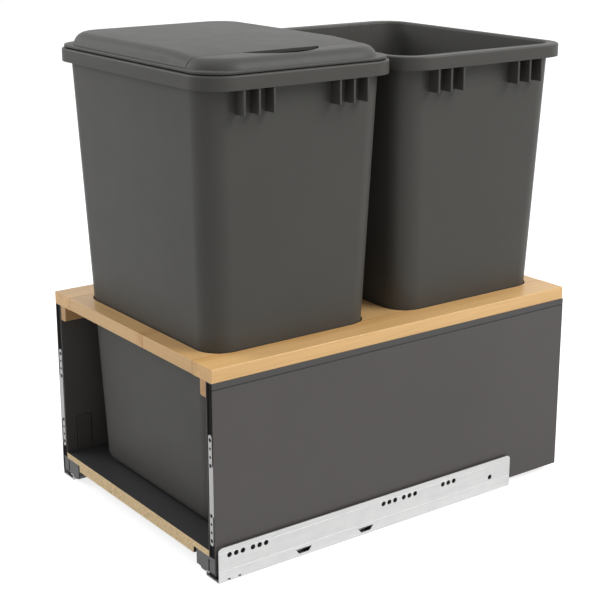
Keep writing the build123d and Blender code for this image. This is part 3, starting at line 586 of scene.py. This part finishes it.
def addFins(bm, low, high, centreY):
    shape = binShape
    rimX = (high.x - low.x) / 2
    zRim = high.z - shape["rimHeight"]
    xIn = rimX - shape["rimInsetX"] - shape["wall"] / 2 - shape["draft"] * shape["finDrop"]
    xOut = rimX - shape["finInset"]
    zLow, zHigh = zRim - shape["finDrop"], high.z - shape["rimWall"] / 2
    size = Matrix.Diagonal((xOut - xIn, shape["finWidth"], zHigh - zLow, 1))
    for side in (-1, 1):
        for group in (-1, 1):
            for step in (-1, 0, 1):
                y = centreY + group * shape["finGroup"] + step * shape["finPitch"]
                place = Matrix.Translation((side * (xIn + xOut) / 2, y, (zLow + zHigh) / 2))
                fin = bmesh.ops.create_cube(bm, size=1.0, matrix=place @ size)
                edges = list({edge for vert in fin["verts"] for edge in vert.link_edges})
                bmesh.ops.bevel(
                    bm, geom=edges, offset=shape["finRounding"], offset_type="OFFSET",
                    segments=2, affect="EDGES", profile=0.5, material=-1,
                )


def buildBin(name, node, body):
    low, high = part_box(node)
    centreY = (low.y + high.y) / 2
    bm = bmesh.new()
    faces = [
        ring(bm, centreY, halfX, halfY, radius, z, binShape["cornerSegments"])
        for halfX, halfY, radius, z in binProfile(low, high)
    ]
    for first, second in zip(faces, faces[1:]):
        bmesh.ops.bridge_loops(bm, edges=[*first.edges, *second.edges])
    bmesh.ops.delete(bm, geom=faces[1:-1], context="FACES_ONLY")
    bmesh.ops.recalc_face_normals(bm, faces=bm.faces)
    addFins(bm, low, high, centreY)
    smoothShading(bm, binShape["creaseDegrees"])
    piece = pieceFrom(bm, name, body, binPlastic)
    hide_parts(node)
    return piece


bodies = frame["record"]["behaviour"]["bodies"]
bodyOf = {node: body for body, nodes in bodies.items() for node in nodes}

buildBin("frontBin", "front_bin", "front_bin")
buildBin("rearBin", "rear_bin", "rear_bin")
print("bins built")

for node in sorted(frame["nodes"]):
    if node not in ("front_bin", "rear_bin"):
        workedPart(node, bodyOf[node])
print("parts worked")


# how bright the stage is: to a surface that it lights, in a mirror or glass, and seen directly
stageLook = {
    "floorSize": 6.0,
    "floorColour": (0.6, 0.6, 0.6),
    "floorRoughness": 0.9,
    "floor": (0.0, 0.50, 0.78),
    "world": (0.42, 1.0, 1.0),
}
lamps = {
    "keyLight": {"place": (-2.2, -1.9, 2.0), "size": 1.8, "power": 35},
    "sideLight": {"place": (1.9, 1.4, 2.5), "size": 1.8, "power": 66},
    "topLight": {"place": (0.0, 0.0, 3.4), "size": 2.2, "power": 8},
}
lampAim = (0, 0, 0.3)
cameraView = {
    "azimuth": 53.76,
    "elevation": 15.96,
    "distance": 1.8169,
    "target": (-0.0063, -0.0066, 0.2743),
    "focal": 1411.9,
    "shift": 30.0,
    "frame": 608.0,
    "sensor": 36.0,
}


def stageLevel(tree, lighting, mirrored, seen):
    path = tree.nodes.new("ShaderNodeLightPath")
    isGlossy, isThrough = path.outputs["Is Glossy Ray"], path.outputs["Is Transmission Ray"]
    isBounced = compute(tree, "ADD", isGlossy, isThrough, clamped=True)
    level = addNode(tree, "ShaderNodeMix", data_type="FLOAT")
    unseen = spread(tree, isBounced, lighting, mirrored)
    for value, index in ((path.outputs["Is Camera Ray"], 0), (unseen, 2), (seen, 3)):
        feed(tree, level.inputs[index], value)
    return level.outputs[0]


def floorWhite():
    material, tree, shader = newMaterial("floorWhite")
    shader.inputs["Base Color"].default_value = (*stageLook["floorColour"], 1)
    shader.inputs["Roughness"].default_value = stageLook["floorRoughness"]
    shader.inputs["Emission Color"].default_value = (1, 1, 1, 1)
    tree.links.new(stageLevel(tree, *stageLook["floor"]), shader.inputs["Emission Strength"])
    return material


def makeFloor():
    bm = bmesh.new()
    bmesh.ops.create_grid(bm, x_segments=1, y_segments=1, size=stageLook["floorSize"])
    mesh = bpy.data.meshes.new("floor")
    bm.to_mesh(mesh)
    bm.free()
    floor = bpy.data.objects.new("floor", mesh)
    bpy.context.scene.collection.objects.link(floor)
    floor.location.z = cadBox[0].z
    mesh.materials.append(floorWhite())


def makeWorld():
    world = bpy.data.worlds.new("studio")
    bpy.context.scene.world = world
    world.use_nodes = True
    tree = world.node_tree
    background = tree.nodes["Background"]
    background.inputs["Color"].default_value = (1, 1, 1, 1)
    tree.links.new(stageLevel(tree, *stageLook["world"]), background.inputs["Strength"])


def softBox(name, place, size, power):
    data = bpy.data.lights.new(name, "AREA")
    data.shape = "SQUARE"
    data.size = size
    data.energy = power
    lamp = bpy.data.objects.new(name, data)
    bpy.context.scene.collection.objects.link(lamp)
    lamp.location = place
    aim = Vector(lampAim) - Vector(place)
    lamp.rotation_euler = aim.to_track_quat("-Z", "Y").to_euler()


def makeCamera():
    view = cameraView
    turn, rise = math.radians(view["azimuth"]), math.radians(view["elevation"])
    level = math.cos(rise)
    back = Vector((math.sin(turn) * level, -math.cos(turn) * level, math.sin(rise)))
    data = bpy.data.cameras.new("camera")
    data.sensor_width = view["sensor"]
    data.lens = view["focal"] / view["frame"] * data.sensor_width
    data.shift_y = -view["shift"] / view["frame"]
    camera = bpy.data.objects.new("camera", data)
    bpy.context.scene.collection.objects.link(camera)
    camera.location = Vector(view["target"]) + back * view["distance"]
    camera.rotation_mode = "QUATERNION"
    camera.rotation_quaternion = (-back).to_track_quat("-Z", "Y")
    bpy.context.scene.camera = camera


makeFloor()
makeWorld()
for name, lamp in lamps.items():
    softBox(name, **lamp)
makeCamera()
bpy.context.scene.view_settings.view_transform = "Standard"
print("stage set")
